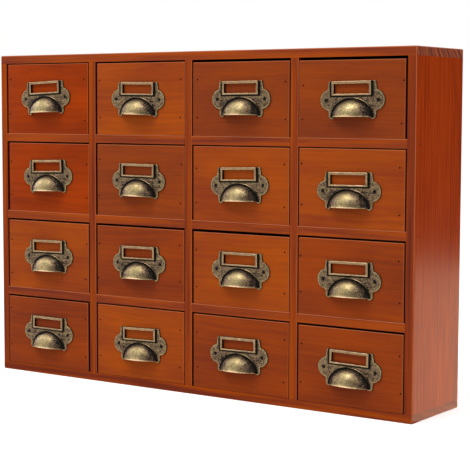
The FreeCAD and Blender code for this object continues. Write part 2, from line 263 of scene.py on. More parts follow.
def noise(tree, place, scale, detail, roughness=0.5):
    """Even noise at a scale per metre."""
    return put(tree, "ShaderNodeTexNoise", {"Vector": place, "Scale": scale, "Detail": detail,
                                            "Roughness": roughness}).outputs[0]


def stretched_noise(tree, place, along, across, detail=3.0, roughness=0.55):
    """Noise drawn out along the grain: per metre along it and across it."""
    scaled = vector_maths(tree, "MULTIPLY", place, (along, across, across))
    return noise(tree, scaled, 1.0, detail, roughness)


def shaded(material, tree, shader):
    """Ends a material with its shader and gives it back."""
    put(tree, "ShaderNodeOutputMaterial", {"Surface": shader.outputs[0]})
    return material


def seen_or_mirrored(tree):
    """1 for rays of the camera and of mirrors and glass, 0 for those that only bring light."""
    path = put(tree, "ShaderNodeLightPath").outputs
    mirrored = maths(tree, "MAXIMUM", path["Is Glossy Ray"], path["Is Transmission Ray"])
    return maths(tree, "MAXIMUM", path["Is Camera Ray"], mirrored)


# ---------------- materials
GRAIN_TURN = {"X": (0.0, 0.0, 0.0), "Z": (0.0, math.pi / 2, 0.0), "Y": (0.0, 0.0, -math.pi / 2)}
GRAIN_AXIS = {"X": 0, "Y": 1, "Z": 2}


def wood(name, light, dark, grain="X", seed=0, rings=(0.0, 0.2, 0.0), sawn="board", edge=None,
         shaded_sides=(), ends=None):
    """Planed wood with its grain along one axis.

    The growth rings are noise over the distance from the rings' middle, squeezed along the
    grain, so that a face through them shows long nested arches, and the board's end shows
    arcs. Finer noise drawn out along the grain gives the fibres, and slow noise the cloudy
    take-up of the stain. The edge colours, if given, go where the board looks forward. The
    shaded sides, as pairs of axis and sign (0 for both), get painted shade: they are darkened
    nearly to black, as the gaps between boards would be in shadow. Arrises, which look along
    no axis, are lighter, partly rubbed wear and partly a painted highlight, the upper ones
    most, as if lit from above.
    """
    options = bpy.context.scene.cabinet_wood
    lacquered = sawn != "bare"
    (ring_share, fibre_share, cloud_share, waver_by, squeeze, spread_by, gloss,
     ring_width, roughness) = SAWN[sawn]
    material, tree = fresh_material(name)
    coords = put(tree, "ShaderNodeTexCoord")
    centred = vector_maths(tree, "ADD", coords.outputs["Object"], [-value for value in rings])
    level = put(tree, "ShaderNodeMapping", {"Vector": centred, "Rotation": GRAIN_TURN[grain]}).outputs[0]
    shifted = vector_maths(tree, "ADD", level, (seed * 0.371, seed * 0.173, seed * 0.297))

    waver = stretched_noise(tree, shifted, 9.0, 38.0, 2.0)
    squeezed = vector_maths(tree, "MULTIPLY", level, (squeeze, 1.0, 1.0))
    distance = vector_maths(tree, "LENGTH", squeezed, output="Value")
    wavered = maths(tree, "MULTIPLY_ADD", waver, waver_by, distance)
    count = maths(tree, "MULTIPLY", wavered, 1.0 / (options.ring_spacing * ring_width))
    ring_noise = put(tree, "ShaderNodeTexNoise", {"W": maths(tree, "ADD", count, seed * 7.3),
                                                  "Scale": 1.0, "Detail": 2.0, "Roughness": 0.6},
                     noise_dimensions="1D").outputs[0]
    fibres = stretched_noise(tree, shifted, 22.0, 900.0, 3.0)
    cloud = stretched_noise(tree, shifted, 9.0, 30.0, 3.0)

    tone = maths(tree, "MULTIPLY", ring_noise, ring_share)
    tone = maths(tree, "MULTIPLY_ADD", fibres, fibre_share, tone)
    tone = maths(tree, "MULTIPLY_ADD", cloud, cloud_share, tone)
    shade = blend_colour(tree, mapped(tree, tone, 0.5 - spread_by, 0.5 + spread_by), dark, light)

    facing = put(tree, "ShaderNodeSeparateXYZ", {0: coords.outputs["Normal"]})
    if edge:
        forward = maths(tree, "MULTIPLY", facing.outputs[1], -1.0, clamp=True)
        forward = maths(tree, "GREATER_THAN", forward, 0.8)
        streak = mapped(tree, stretched_noise(tree, shifted, 7.0, 190.0, 2.0), 0.36, 0.62)
        shade = blend_colour(tree, forward, shade, blend_colour(tree, streak, edge[1], edge[0]))
    if ends:
        along = maths(tree, "ABSOLUTE", facing.outputs[GRAIN_AXIS[grain]])
        is_end = maths(tree, "GREATER_THAN", along, 0.8)
        arcs = mapped(tree, ring_noise, 0.45, 0.60)
        shade = blend_colour(tree, is_end, shade, blend_colour(tree, arcs, ends[1], ends[0]))
    # Painted shade: each side given here, inside a gap between boards or fronts, is darkened nearly to
    # black.
    for axis, sign in shaded_sides:
        way = facing.outputs[axis]
        way = maths(tree, "MULTIPLY", way, sign) if sign else maths(tree, "ABSOLUTE", way)
        painted_shade = maths(tree, "MULTIPLY", maths(tree, "GREATER_THAN", way, 0.9), 0.80)
        shade = blend_colour(tree, painted_shade, shade, [value * 0.12 for value in dark])

    pores = mapped(tree, stretched_noise(tree, shifted, 45.0, 1500.0, 2.0, 0.7), 0.60, 0.74)
    pore_factor = maths(tree, "MULTIPLY", pores, 0.32 if lacquered else 0.25)
    shade = blend_colour(tree, pore_factor, shade, [value * 0.35 for value in dark])

    if lacquered:
        # Partly rubbed wear and partly a painted highlight: arrises are lighter, the upper ones most, as
        # if lit from above.
        sizes = [maths(tree, "ABSOLUTE", facing.outputs[k]) for k in range(3)]
        most = maths(tree, "MAXIMUM", maths(tree, "MAXIMUM", sizes[0], sizes[1]), sizes[2])
        arris_wear_and_highlight = mapped(tree, most, 0.97, 0.80)
        lit_from_above = maths(tree, "MULTIPLY_ADD", facing.outputs[2], 0.28, 0.38)
        rubbed_and_highlit = maths(tree, "MULTIPLY", arris_wear_and_highlight, lit_from_above, clamp=True)
        shade = blend_colour(tree, rubbed_and_highlit, shade, options.rubbed_and_highlit)

    relief = maths(tree, "MULTIPLY_ADD", ring_noise, 0.35, fibres)
    bump = put(tree, "ShaderNodeBump", {"Height": relief, "Strength": 0.10 if lacquered else 0.25,
                                        "Distance": 0.0004}).outputs[0]
    rough = mapped(tree, cloud, to_low=roughness - 0.06, to_high=roughness + 0.10)
    shader = put(tree, "ShaderNodeBsdfPrincipled", {
        "Base Color": shade, "Roughness": rough, "Normal": bump, "Specular IOR Level": gloss})
    return shaded(material, tree, shader)


def aged_brass(name):
    """Cast brass gone dark, worn back where it is handled.

    The attribute of wear and painted light runs from below 0 in the black hollows and where
    shade is painted, to 1 on the rubbed edges and on the bead's painted highlight.
    Coarse and fine noise break it up, and it picks the colour, the gloss and how metallic the
    surface is. The copper attribute says where the worn metal is redder.
    """
    options = bpy.context.scene.cabinet_brass
    material, tree = fresh_material(name)
    place = put(tree, "ShaderNodeTexCoord").outputs["Object"]
    wear_and_painted_light = put(tree, "ShaderNodeAttribute", attribute_name="wear_and_painted_light").outputs["Fac"]
    speckle_share, mottle_share = 1.20, 0.44
    broken = maths(tree, "MULTIPLY_ADD", noise(tree, place, 1050.0, 3.0, 0.65), speckle_share, wear_and_painted_light)
    broken = maths(tree, "MULTIPLY_ADD", noise(tree, place, 260.0, 2.0), mottle_share, broken)
    state = maths(tree, "SUBTRACT", broken, (speckle_share + mottle_share) / 2, clamp=True)
    # The darkest stop also paints shade, and the top stop a painted highlight, where the attribute asks
    # for them.
    shades = [ramp(tree, state, [(0.04, options.patina_and_shade), (0.26, options.bronze),
                                 (0.60, worn), (0.98, options.rubbed_and_highlit)])
              for worn in (options.gold, options.copper)]
    copper = put(tree, "ShaderNodeAttribute", attribute_name="copper").outputs["Fac"]
    shade = blend_colour(tree, copper, *shades)
    rough = mapped(tree, state, to_low=0.58, to_high=0.27)
    metal = mapped(tree, state, high=0.4, to_low=0.45)
    bump = put(tree, "ShaderNodeBump", {"Height": broken, "Strength": 0.35,
                                        "Distance": 0.0003}).outputs[0]
    shader = put(tree, "ShaderNodeBsdfPrincipled", {"Base Color": shade, "Roughness": rough,
                                                    "Metallic": metal, "Normal": bump,
                                                    "Specular IOR Level": 0.15})
    return shaded(material, tree, shader)


def dark_iron(name, iron):
    """Dull dark iron of pins and nails."""
    material, tree = fresh_material(name)
    place = put(tree, "ShaderNodeTexCoord").outputs["Object"]
    shade = blend_colour(tree, noise(tree, place, 900.0, 2.0), [value * 0.45 for value in iron],
                         [value * 1.5 for value in iron])
    shader = put(tree, "ShaderNodeBsdfPrincipled", {"Base Color": shade, "Roughness": 0.7,
                                                    "Specular IOR Level": 0.05})
    return shaded(material, tree, shader)


def dress_node(node, material):
    """Gives a CAD node a better material. Its mesh and its place stay as they are."""
    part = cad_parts[node]
    part.data.materials.clear()
    part.data.materials.append(material)


# ---------------- surfaces
def grid_quads(rows, columns, wrap_rows=False, wrap_columns=False):
    """Corner numbers of the quads of a grid of points, rows first."""
    row = np.arange(rows if wrap_rows else rows - 1)[:, None]
    column = np.arange(columns if wrap_columns else columns - 1)[None, :]
    next_row = (row + 1) % rows
    next_column = (column + 1) % columns
    corners = [row * columns + column, row * columns + next_column,
               next_row * columns + next_column, next_row * columns + column]
    return np.stack([corner.ravel() for corner in corners], axis=1)


def joined(parts):
    """Several (points, faces, wear) in one, with the faces renumbered."""
    starts = np.cumsum([0] + [len(points) for points, _, _ in parts[:-1]])
    points = np.concatenate([part[0] for part in parts])
    wear_and_painted_light = np.concatenate([part[2] for part in parts])
    faces = [tuple(int(i) + int(start) for i in face)
             for start, (_, some, _) in zip(starts, parts) for face in some]
    return points, faces, wear_and_painted_light


def add_piece(name, points, faces, material, body, nodes, layers=None, weld=0.004):
    """A mesh object from points in millimetres: welded, turned outwards, smooth up to 35
    degrees, riding on its body and standing for its CAD nodes. The layers are attributes
    by name, with a value for each point."""
    mesh = bpy.data.meshes.new(name)
    mesh.from_pydata((np.asarray(points) * MM).tolist(), [], [tuple(face) for face in faces])
    for key, values in (layers or {}).items():
        layer = mesh.attributes.new(key, "FLOAT", "POINT")
        layer.data.foreach_set("value", np.asarray(values, np.float32))
    shell = bmesh.new()
    shell.from_mesh(mesh)
    bmesh.ops.remove_doubles(shell, verts=shell.verts, dist=weld * MM)
    bmesh.ops.dissolve_degenerate(shell, edges=shell.edges, dist=weld * MM * 0.5)
    bmesh.ops.recalc_face_normals(shell, faces=shell.faces)
    shell.to_mesh(mesh)
    shell.free()
    mesh.polygons.foreach_set("use_smooth", np.ones(len(mesh.polygons), bool))
    mesh.set_sharp_from_angle(angle=math.radians(35))
    mesh.materials.append(material)
    piece = bpy.data.objects.new(name, mesh)
    bpy.context.scene.collection.objects.link(piece)
    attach(piece, body)
    if nodes:
        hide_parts(*nodes)
    return piece


def slab_lines(low, high, radius, inner):
    """Grid lines along one side of a slab: close together where its edge is rounded."""
    turn = radius * (1 - np.cos(np.linspace(0, math.pi / 2, 5)))
    return np.concatenate([low + turn, np.linspace(low + radius, high - radius, inner)[1:-1],
                           (high - turn)[::-1]])


def rounded_slab(low, high, radius):
    """A box with every edge and corner rounded.

    Each point q of the plain box is pulled to its nearest point p of the box shrunk by the
    radius, and then put one radius from p towards q.
    """
    low, high = np.array(low, float), np.array(high, float)
    parts = []
    for axis in range(3):
        first, second = (axis + 1) % 3, (axis + 2) % 3
        a = slab_lines(low[first], high[first], radius, 6)
        b = slab_lines(low[second], high[second], radius, 6)
        for level in (low[axis], high[axis]):
            q = np.empty((len(a), len(b), 3))
            q[..., axis] = level
            q[..., first], q[..., second] = np.meshgrid(a, b, indexing="ij")
            q = q.reshape(-1, 3)
            p = np.clip(q, low + radius, high - radius)
            away = q - p
            away /= np.linalg.norm(away, axis=1, keepdims=True)
            parts.append((p + radius * away, grid_quads(len(a), len(b)), np.zeros(len(q))))
    return joined(parts)


def even_loop(points, count, smoothing):
    """A closed line through the points: spaced evenly and softened by a moving average
    whose weights fall off as a bell curve."""
    dense = 2400
    closed = np.vstack([points, points[:1]])
    run = np.concatenate([[0.0], np.cumsum(np.linalg.norm(np.diff(closed, axis=0), axis=1))])
    steps = np.linspace(0, run[-1], dense, endpoint=False)
    line = np.stack([np.interp(steps, run, closed[:, k]) for k in range(2)], axis=1)
    offset = np.minimum(np.arange(dense), dense - np.arange(dense)) * run[-1] / dense
    weights = np.exp(-0.5 * (offset / smoothing) ** 2)
    weights /= weights.sum()
    spectrum = np.fft.rfft(weights)[:, None]
    soft = np.fft.irfft(np.fft.rfft(line, axis=0) * spectrum, dense, axis=0)
    return soft[:: dense // count]


def plate_outline(sizes):
    """The plate's outline, anticlockwise, with the arch between its legs.

    Seen from a point above the screw line, each direction meets the furthest of the straight
    plate and the two round ears. The arch is half an ellipse about the middle of the lip.
    """
    eye = np.array([0.0, 2.0])
    right = np.array([(20.0, -15.1), (21.8, -13.4), (22.7, 8.5), (21.5, PLATE_TOP)])
    corners = np.vstack([right[::-1] * (-1, 1), right])
    angle = np.linspace(-math.pi / 2, 1.5 * math.pi, 1440, endpoint=False)
    way = np.stack([np.cos(angle), np.sin(angle)], axis=1)
    side = np.roll(corners, -1, axis=0) - corners
    out = np.stack([side[:, 1], -side[:, 0]], axis=1)
    reach = way @ out.T
    room = ((corners - eye) * out).sum(axis=1)
    hit = np.where(reach > 1e-9, room / np.where(reach > 1e-9, reach, 1.0), np.inf).min(axis=1)
    for ear_x in (-EAR_AT, EAR_AT):
        to_ear = np.array([ear_x, 0.0]) - eye
        along = way @ to_ear
        under_root = sizes.ear_radius ** 2 - (to_ear @ to_ear - along ** 2)
        far = np.where((under_root > 0) & (along > 0), along + np.sqrt(np.maximum(under_root, 0)), 0)
        hit = np.maximum(hit, far)
    outer = eye + way * hit[:, None]
    half = sizes.cup_width / 2 - sizes.cup_wall
    rise = sizes.cup_height - sizes.cup_wall
    below_lip = LIP - 0.2
    outer = outer[~((np.abs(outer[:, 0]) < half) & (outer[:, 1] < below_lip))]
    turn = np.linspace(math.pi, 0, 160)
    arch = np.stack([half * np.cos(turn), LIP + rise * np.sin(turn)], axis=1)
    start = np.argmin(np.where(outer[:, 1] < below_lip, np.abs(outer[:, 0] - half), np.inf))
    outer = np.roll(outer, -start, axis=0)
    return even_loop(np.vstack([outer, arch]), count=300, smoothing=0.45)


def rounded_rectangle(half, low, high, radius, corner=5, side=6):
    """A rectangle about x = 0 with round corners, anticlockwise; the same count each time."""
    middles = [(half - radius, low + radius, -90), (half - radius, high - radius, 0),
               (-half + radius, high - radius, 90), (-half + radius, low + radius, 180)]
    arcs = []
    for x, z, start in middles:
        turn = np.radians(start + np.linspace(0, 90, corner))
        arcs.append(np.stack([x + radius * np.cos(turn), z + radius * np.sin(turn)], axis=1))
    points = []
    for arc, following in zip(arcs, arcs[1:] + arcs[:1]):
        share_of_side = np.linspace(0, 1, side + 1)[1:-1, None]
        points += [arc, arc[-1] * (1 - share_of_side) + following[0] * share_of_side]
    return np.vstack(points)


def as_points(x, y, z):
    """Grids of x, y and z, or one number for all, as one list of points."""
    return np.stack(np.broadcast_arrays(x, y, z), axis=-1).reshape(-1, 3)


def raised(loop, y):
    """A flat line in x and z put at a depth, the same everywhere or one for each point."""
    return as_points(loop[:, 0], y, loop[:, 1])


def plate_surface(sizes):
    """The plate: loops from the drawer's face up its rounded rim, then a flat field with the
    label window in it, and the same field again as its back."""
    outline = plate_outline(sizes)
    tangent = np.roll(outline, -1, axis=0) - np.roll(outline, 1, axis=0)
    inward = np.stack([-tangent[:, 1], tangent[:, 0]], axis=1)
    inward /= np.linalg.norm(inward, axis=1, keepdims=True)
    thick, rim = sizes.plate_thickness, 0.45
    slot_half, slot_depth, window_half = 16.9, 0.8, 17.2
    slot_open = (outline[:, 1] > PLATE_TOP - 0.3) & (np.abs(outline[:, 0]) < slot_half)
    in_cup = (np.abs(outline[:, 0]) < window_half) & (outline[:, 1] < 0)
    bright = np.where(in_cup, 0.05, 0.52)
    turn = np.linspace(0, math.pi / 2, 5)
    # Painted contact shade: the steps from the drawer's face up the rim's side are near black; the rim's
    # top is rubbed bright.
    steps = [(0.0, np.where(slot_open, -slot_depth, 0.0), -0.90)]
    steps += [(rim * (1 - math.cos(t)), -thick + rim * (1 - math.sin(t)), -0.3 + 1.3 * math.sin(t))
              for t in turn]
    steps += [(rim + 0.20, -thick, 0.80), (rim + 0.80, -thick, 0.45)]
    loops = [raised(outline + inward * inset, y) for inset, y, _ in steps]
    wear_and_painted_light = [worn * bright for _, _, worn in steps]
    wear_and_painted_light[-1] = np.where(in_cup, 0.05, 0.27)
    parts = [(np.vstack(loops), grid_quads(len(loops), len(outline), wrap_columns=True),
              np.concatenate(wear_and_painted_light))]
    window = rounded_rectangle(window_half, low=4.4, high=13.7, radius=0.4)
    for flat_loop, level, flipped in ((loops[-1], -thick, False), (loops[0], 0.0, True)):
        edge = flat_loop[:, [0, 2]]
        triangles = tessellate_polygon([[Vector((x, z, 0)) for x, z in loop] for loop in (edge, window)])
        points = np.vstack([flat_loop, raised(window, level)])
        order = (2, 1, 0) if flipped else (0, 1, 2)
        faces = np.array([[triangle[k] for k in order] for triangle in triangles])
        parts.append((points, faces, np.full(len(points), 0.27)))
    wall = np.vstack([raised(window, -thick), raised(window, 0.0)])
    parts.append((wall, grid_quads(2, len(window), wrap_columns=True), np.full(len(wall), 0.05)))
    return joined(parts)


def label_frame_surface(sizes):
    """The label frame: rounded rectangles carried from a dark line on the plate, wider on
    the left, up the outside, over a bar with two rubbed edges and down the inside, and
    closed underneath. The dark line is painted shadow round the frame's foot, and the
    outer and inner walls are black, partly patina and partly painted shade."""
    half, deep = sizes.frame_width / 2, sizes.frame_depth
    low, high, window_low, window_high, side_bar = 3.8, 15.1, 5.0, 13.1, 1.9
    # The first rows are a black skirt on the plate round the frame: painted shadow, reaching 2.6 mm to
    # the left, 1.8 mm to the right and 1.45 mm below; the next rows are the outer wall, kept dark with
    # painted shade.
    foot = ((2.20, 1.45, 0.4, -1.30, 0.05), (2.20, 1.45, 0.4, -1.42, 0.05),
            (1.80, 1.20, 0.4, -1.44, -0.38), (0.0, 0.0, 0.0, -1.46, -0.55),
            (0.0, 0.0, 0.0, -deep + 0.45, -0.60), (0.0, 0.0, 0.0, -deep + 0.3, 0.35))
    edge = ((0.08, -deep + 0.10, 0.72), (0.24, -deep, 0.66), (0.50, -deep + 0.06, 0.46))
    # The inner walls go black down to the wood: patina in part and painted shade in part.
    inner_wall = ((0.0, -deep + 0.35, -0.30), (0.0, -1.4, -0.90), (0.0, -0.1, -0.90))
    steps = [(rounded_rectangle(half + beside, low - below, high, 0.7) - [left, 0.0], y, worn)
             for beside, below, left, y, worn in foot]
    steps += [(rounded_rectangle(half - inset, low + inset, high - inset, 0.5), y, worn)
              for inset, y, worn in edge]
    steps += [(rounded_rectangle(half - side_bar + inset, window_low - inset, window_high + inset,
                                 0.3 + inset), y, worn) for inset, y, worn in edge[::-1] + inner_wall]
    steps.append((rounded_rectangle(half, low, high, 0.7), -0.1, 0.0))
    loops = [raised(loop, y) for loop, y, _ in steps]
    count = len(loops[0])
    return (np.vstack(loops), grid_quads(len(loops), count, wrap_rows=True, wrap_columns=True),
            np.repeat([worn for _, _, worn in steps], count))


def along_cup(path, half, rise, level, wear_and_painted_light):
    """A closed profile carried along half an ellipse about the middle of the lip, its first
    and last places closed by flat ends."""
    x, z = half * np.cos(path), LIP + rise * np.sin(path)
    steps, sides = x.shape
    faces = [tuple(quad) for quad in grid_quads(steps, sides, wrap_columns=True)]
    faces += [tuple(range(sides)), tuple(range((steps - 1) * sides, steps * sides))]
    return as_points(x, -level, z), faces, wear_and_painted_light.reshape(-1)


def bead_surface(sizes):
    """The bead: half an ellipse about the lip as its path, half a circle as its profile. Its
    crest carries a painted highlight, a bell shape over the angle that peaks towards the
    upper right, and elsewhere the crest and its flanks are black."""
    half, rise = sizes.cup_width / 2 + BEAD_OFF, sizes.cup_height + BEAD_OFF + 0.1
    width, high, sunk = 0.9, 0.7, 0.15
    path = np.linspace(0, math.pi, BEAD_STEPS)[:, None]
    around = np.linspace(0, math.pi, 9)[None, :]
    off = width / 2 * np.cos(around)
    top = sizes.plate_thickness - sunk + (high + sunk) * np.sin(around)
    # Painted highlight: the crest is lightest at this angle, towards the upper right, and dark
    # elsewhere.
    highlight_angle, spread = 1.1, 0.55
    crest_highlight = np.exp(-((path - highlight_angle) / spread) ** 2)
    wear_and_painted_light = -0.25 + 1.05 * crest_highlight * np.sin(around) ** 2
    return along_cup(path, half + off, rise + off, top, wear_and_painted_light)


def groove_surface(sizes):
    """The dark floor between cup and bead: a flat band between two half ellipses, with its
    underside a little lower."""
    path = np.linspace(0, math.pi, BEAD_STEPS)[:, None]
    under_cup, proud, sunk = 0.3, 0.03, 0.3
    off = np.array([0.0, BEAD_OFF, BEAD_OFF, 0.0])[None, :] - under_cup
    level = sizes.plate_thickness + np.array([proud, proud, -sunk, -sunk])[None, :]
    wear_and_painted_light = np.full((BEAD_STEPS, 4), -0.7)
    return along_cup(path, sizes.cup_width / 2 + off, sizes.cup_height + off, level, wear_and_painted_light)


def cup_surface(sizes):
    """The cup, a quarter of a hollow ellipsoid.

    The first angle runs from one end of the lip to the other about the long axis. The
    second goes out over the outside to the lip, round the lip and back along the inside.
    The lip climbs one millimetre towards the front. Hands rub the crown and the lip, and the
    flanks and the foot keep their patina.
    """
    half, rise, deep, wall = sizes.cup_width / 2, sizes.cup_height, sizes.cup_depth, sizes.cup_wall
    lip_rise, lip_drop = 1.0, 0.32
    across = np.linspace(0, math.pi, 65)[:, None]
    last = math.atan2(rise, lip_rise)
    outside = np.linspace(0, last, 25)
    lip = np.linspace(0, 1, 7)[1:-1] * math.pi
    inside = np.linspace(last, 0, 19)
    angle = np.concatenate([outside, np.full_like(lip, last), inside])[None, :]
    inset = wall * np.concatenate([0 * outside, (1 - np.cos(lip)) / 2, np.ones_like(inside)])[None, :]
    drop = lip_drop * np.concatenate([0 * outside, np.sin(lip), 0 * inside])[None, :]
    x = -(half - inset) * np.cos(across)
    y = -(deep - inset) * np.sin(across) * np.sin(angle)
    z = LIP + (rise - inset) * np.sin(across) * np.cos(angle) - drop * np.sin(across)
    seam = np.clip(-y / 7.2, 0, 1) * np.clip(np.sin(across) * 2.2, 0, 1)
    lip_shine = np.exp(-((angle - last) / 0.07) ** 2) * (inset < wall * 0.7)
    crown = np.clip((half - 4.4 - np.abs(x)) / 11.0, 0, 1)
    rubbed_and_highlit = -0.15 + (0.24 + 0.48 * crown) * seam ** 0.9 + 0.50 * lip_shine
    wear_and_painted_light = np.where(inset < wall * 0.9, rubbed_and_highlit, -0.3)
    return (as_points(x, y, z), grid_quads(*x.shape, wrap_columns=True),
            np.broadcast_to(wear_and_painted_light, x.shape).reshape(-1))


def screw_surface(radius, dome, slot_half, slot_deep):
    """A low domed screw head with a straight slot, its rim at y = 0 facing -y.

    Rows of constant z run from rim to rim. The height falls off with the square of the
    distance from the middle, less the slot's depth in the rows inside the slot, which never
    goes below the rim.
    """
    near = slot_half * 1.02
    rim_rows = radius * np.cos(np.linspace(0, math.pi / 2, 7)[:-1])
    z = np.concatenate([-rim_rows, [-near, -slot_half, slot_half, near], rim_rows])
    z = np.sort(z[(np.abs(z) >= slot_half - 1e-6)])
    reach = np.sqrt(np.maximum(radius ** 2 - z ** 2, 0))[:, None]
    x = reach * np.linspace(-1, 1, 9)[None, :]
    z = z[:, None] * np.ones_like(x)
    fall = dome * (1 - (x ** 2 + z ** 2) / radius ** 2)
    sunk = np.where(np.abs(z) <= slot_half + 1e-6, np.minimum(slot_deep, fall), 0.0)
    top = as_points(x, sunk - fall, z)
    base = top.copy()
    base[:, 1] = slot_deep + 0.1
    rows, columns = x.shape
    quads = grid_quads(rows, columns)
    count = rows * columns
    numbers = np.arange(count).reshape(rows, columns)
    rim = np.concatenate([numbers[0], numbers[1:, -1], numbers[-1, ::-1][1:], numbers[1:-1, 0][::-1]])
    following = np.roll(rim, -1)
    skirt = np.stack([rim, following, following + count, rim + count], axis=1)
    faces = np.vstack([quads, quads[:, ::-1] + count, skirt])
    from_middle = np.hypot(x, z).ravel() / radius
    wear_and_painted_light = np.clip((from_middle - 0.74) * 7.0, -1.2, 0.25)
    return np.vstack([top, base]), faces, np.concatenate([wear_and_painted_light, wear_and_painted_light])


def pin_surface(radius):
    """A pin's head: a shallow round dish of three rings just proud of the wood, closed
    behind."""
    around = np.linspace(0, 2 * math.pi, 14, endpoint=False)[None, :]
    ring = np.array([0.0, 0.55, 0.92, 1.0, 1.0, 0.0])[:, None] * radius
    depth = np.array([-0.03, -0.04, -0.06, -0.02, 0.4, 0.4])[:, None]
    points = as_points(ring * np.cos(around), depth, ring * np.sin(around))
    return points, grid_quads(6, 14, wrap_columns=True), np.zeros(len(points))


# ---------------- places
def cell_middle(row, column):
    """X and Z of the middle of a cell."""
    x = INNER_LEFT + (column - 1) * (CELL_WIDTH + BOARD) + CELL_WIDTH / 2
    z = INNER_BOTTOM + (ROWS - row) * (CELL_HEIGHT + BOARD) + CELL_HEIGHT / 2
    return x, z


def turned(points, angle):
    """Points turned anticlockwise, as seen from the front, about the pull's middle."""
    cosine, sine = math.cos(angle), math.sin(angle)
    x, y, z = points.T
    return as_points(x * cosine - z * sine, y, x * sine + z * cosine)


def on_front(points, row, column):
    """Points of the pull turned and moved from their own place to a drawer's front."""
    across, up, turn = PULL_FIT[(row, column)]
    x, z = cell_middle(row, column)
    return turned(points, math.radians(turn)) + [x + across, CASE_FACE, z + up]


def pin_places(body):
    """X and Z of a drawer's four pins: the middles of the four groups of points that the
    hardware's CAD mesh has behind the screws' tips."""
    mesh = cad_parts[body + "_hardware"].data
    points = np.empty(len(mesh.vertices) * 3, np.float32)
    mesh.vertices.foreach_get("co", points)
    points = points.reshape(-1, 3) / MM
    tips = points[points[:, 1] > PIN_TIPS_BEHIND][:, [0, 2]]
    middle = (tips.min(axis=0) + tips.max(axis=0)) / 2
    places = []
    for right in (False, True):
        for high in (False, True):
            group = tips[((tips[:, 0] > middle[0]) == right) & ((tips[:, 1] > middle[1]) == high)]
            places.append((group.min(axis=0) + group.max(axis=0)) / 2)
    return places


class PullSizes:
    """The pull's sizes in millimetres, taken from the panel's values."""

    def __init__(self, options):
        for key in ("plate_thickness", "ear_radius", "cup_width", "cup_height", "cup_depth",
                    "cup_wall", "frame_width", "frame_depth"):
            setattr(self, key, getattr(options, key) / MM)


# ---------------- operators
class CABINET_OT_case(bpy.types.Operator):
    """Gives every board of the case its wood, and the nails their iron"""
    bl_idname = "cabinet.case"
    bl_label = "Case boards"

    def execute(self, context):
        options = context.scene.cabinet_wood
        light, dark = options.case_light, options.case_dark
        edge = (options.edge_light, options.edge_dark)
        dim_edge = (srgb(146, 60, 26), srgb(106, 45, 32))
        ends = (srgb(166, 74, 30), srgb(104, 40, 18))
        calm_ends = (srgb(154, 60, 20), srgb(130, 48, 18))
        # In these rows and the next, the third entry is the side that faces into the case; it gets
        # painted shade.
        for node, seed, shaded_sides in (("top_panel", 1, (2, -1)), ("bottom_panel", 2, (2, 1)),
                                   ("shelf_1", 3, (2, 0)), ("shelf_2", 4, (2, 0)),
                                   ("shelf_3", 5, (2, 0))):
            middle = (0.03 * seed - 0.1, 0.12, 0.35 + 0.02 * seed)
            at_foot = node == "bottom_panel"
            material = wood(node + "_wood", light, dark, "X", seed, middle,
                            "foot" if at_foot else "board", edge=edge, shaded_sides=[shaded_sides],
                            ends=calm_ends if at_foot else ends)
            dress_node(node, material)
        for node, seed, shaded_sides in (("left_side_panel", 11, (0, 1)), ("right_side_panel", 12, (0, -1)),
                                   ("upright_1", 13, (0, 0)), ("upright_2", 14, (0, 0)),
                                   ("upright_3", 15, (0, 0))):
            forward = dim_edge if node == "right_side_panel" else edge
            material = wood(node + "_wood", light, dark, "Z", seed, (0.30, 0.5 + 0.01 * seed, 0.1),
                            "side", edge=forward, shaded_sides=[shaded_sides])
            dress_node(node, material)
        back = wood("back_panel_wood", light, dark, "X", 21, (0.1, 0.3, 0.5))
        dress_node("back_panel", back)
        dress_node("case_nails", dark_iron("nail_iron", context.scene.cabinet_brass.nail))
        return {"FINISHED"}


class CABINET_OT_fronts(bpy.types.Operator):
    """Makes the sixteen front boards, each with its own tone and figure"""
    bl_idname = "cabinet.fronts"
    bl_label = "Drawer fronts"

    def execute(self, context):
        options = context.scene.cabinet_wood
        radius = options.front_round / MM
        for index, (row, column, ending) in enumerate(DRAWERS):
            body = "drawer" + ending
            low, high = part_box(body + "_front")
            points, faces, _ = rounded_slab(low / MM, high / MM, radius)
            plank = FRONT_PLANKS[row - 1][column - 1]
            light, dark = getattr(options, plank + "_light"), getattr(options, plank + "_dark")
            middle = (low + high) / 2
            off = Vector((0.05 * math.sin(5 * index), 0.0, (-1) ** index * (0.16 + 0.01 * (index % 7))))
            # The front's sides, top and bottom, which face the gaps, get painted shade.
            material = wood("front_wood" + ending, light, dark, "X", 31 + index,
                            (middle.x + off.x, 0.03, middle.z + off.z), "front",
                            shaded_sides=[(0, 0), (2, 0)])
            add_piece("front" + ending, points, faces, material, body, [body + "_front"])
        return {"FINISHED"}


class CABINET_OT_trays(bpy.types.Operator):
    """Gives the drawers' sides, rears and floors their bare wood"""
    bl_idname = "cabinet.trays"
    bl_label = "Drawer trays"

    def execute(self, context):
        options = context.scene.cabinet_wood
        for index, (_, _, ending) in enumerate(DRAWERS):
            material = wood("tray_wood" + ending, options.bare_light, options.bare_dark, "Y",
                            61 + index, (0.2, 0.0, 0.4), "bare")
            dress_node("drawer" + ending + "_tray", material)
        return {"FINISHED"}


